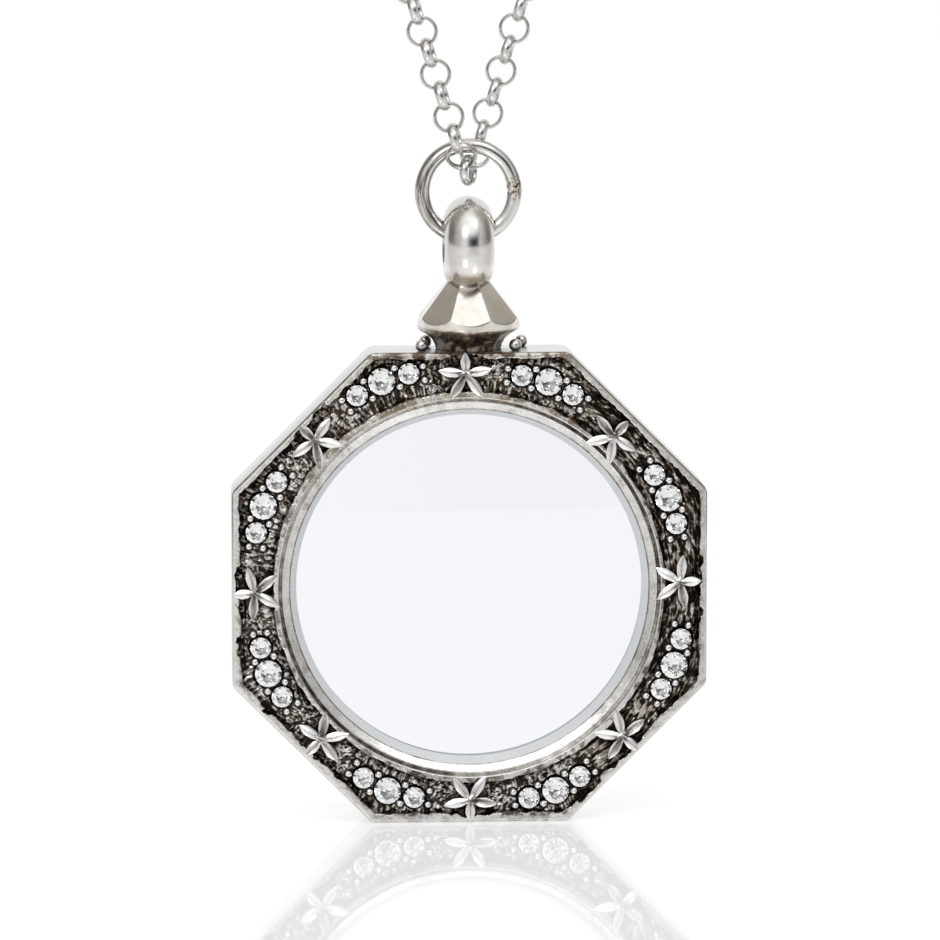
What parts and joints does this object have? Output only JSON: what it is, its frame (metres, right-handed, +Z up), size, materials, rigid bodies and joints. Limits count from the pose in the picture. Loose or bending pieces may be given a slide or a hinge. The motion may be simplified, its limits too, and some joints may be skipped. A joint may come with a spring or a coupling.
{
  "type": "magnifier pendant on a chain",
  "caption": "Eight-sided crystal-set frame round a magnifying lens, hung by a faceted cap, bail and jump ring from a long link chain.",
  "frame": {"origin": "underside of the clasp at the top of the chain's loop, where it lies on the back of the neck", "axes": "+Z up, the pendant hangs along -Z; its front looks along -Y; +X to the right seen from the front"},
  "size_m": [0.1442, 0.0098, 0.3648],
  "materials": {
    "antique_silver": "cast, silver plated, with a dark oxidised field and worn bright edges",
    "polished_silver": "polished silver plate",
    "chain_silver": "silver plate, a little oxidised between the links",
    "lens_glass": "clear polished glass",
    "crystal": "clear cut crystal"
  },
  "bodies": {
    "chain": {"chain_left": "chain_silver", "chain_right": "chain_silver", "clasp": "chain_silver"},
    "ring": {"jump_ring": "polished_silver"},
    "pendant": {"finial": "polished_silver", "frame": "antique_silver", "lens": "lens_glass", "stone_01": "crystal", "stone_02": "crystal", "stone_03": "crystal", "stone_04": "crystal", "stone_05": "crystal", "stone_06": "crystal", "stone_07": "crystal", "stone_08": "crystal", "stone_09": "crystal", "stone_10": "crystal", "stone_11": "crystal", "stone_12": "crystal", "stone_13": "crystal", "stone_14": "crystal", "stone_15": "crystal", "stone_16": "crystal", "stone_17": "crystal", "stone_18": "crystal", "stone_19": "crystal", "stone_20": "crystal", "stone_21": "crystal", "stone_22": "crystal", "stone_23": "crystal", "stone_24": "crystal"}
  },
  "joints": [
    {"name": "ring_turn", "type": "hinge", "parent": "chain", "child": "ring", "pos_m": [0, 0, -0.30089], "axis": [0, 1, 0], "range_deg": [-30, 30]},
    {"name": "pendant_swing", "type": "hinge", "parent": "ring", "child": "pendant", "pos_m": [0, 0, -0.30524], "axis": [1, 0, 0], "range_deg": [-80, 80]}
  ]
}
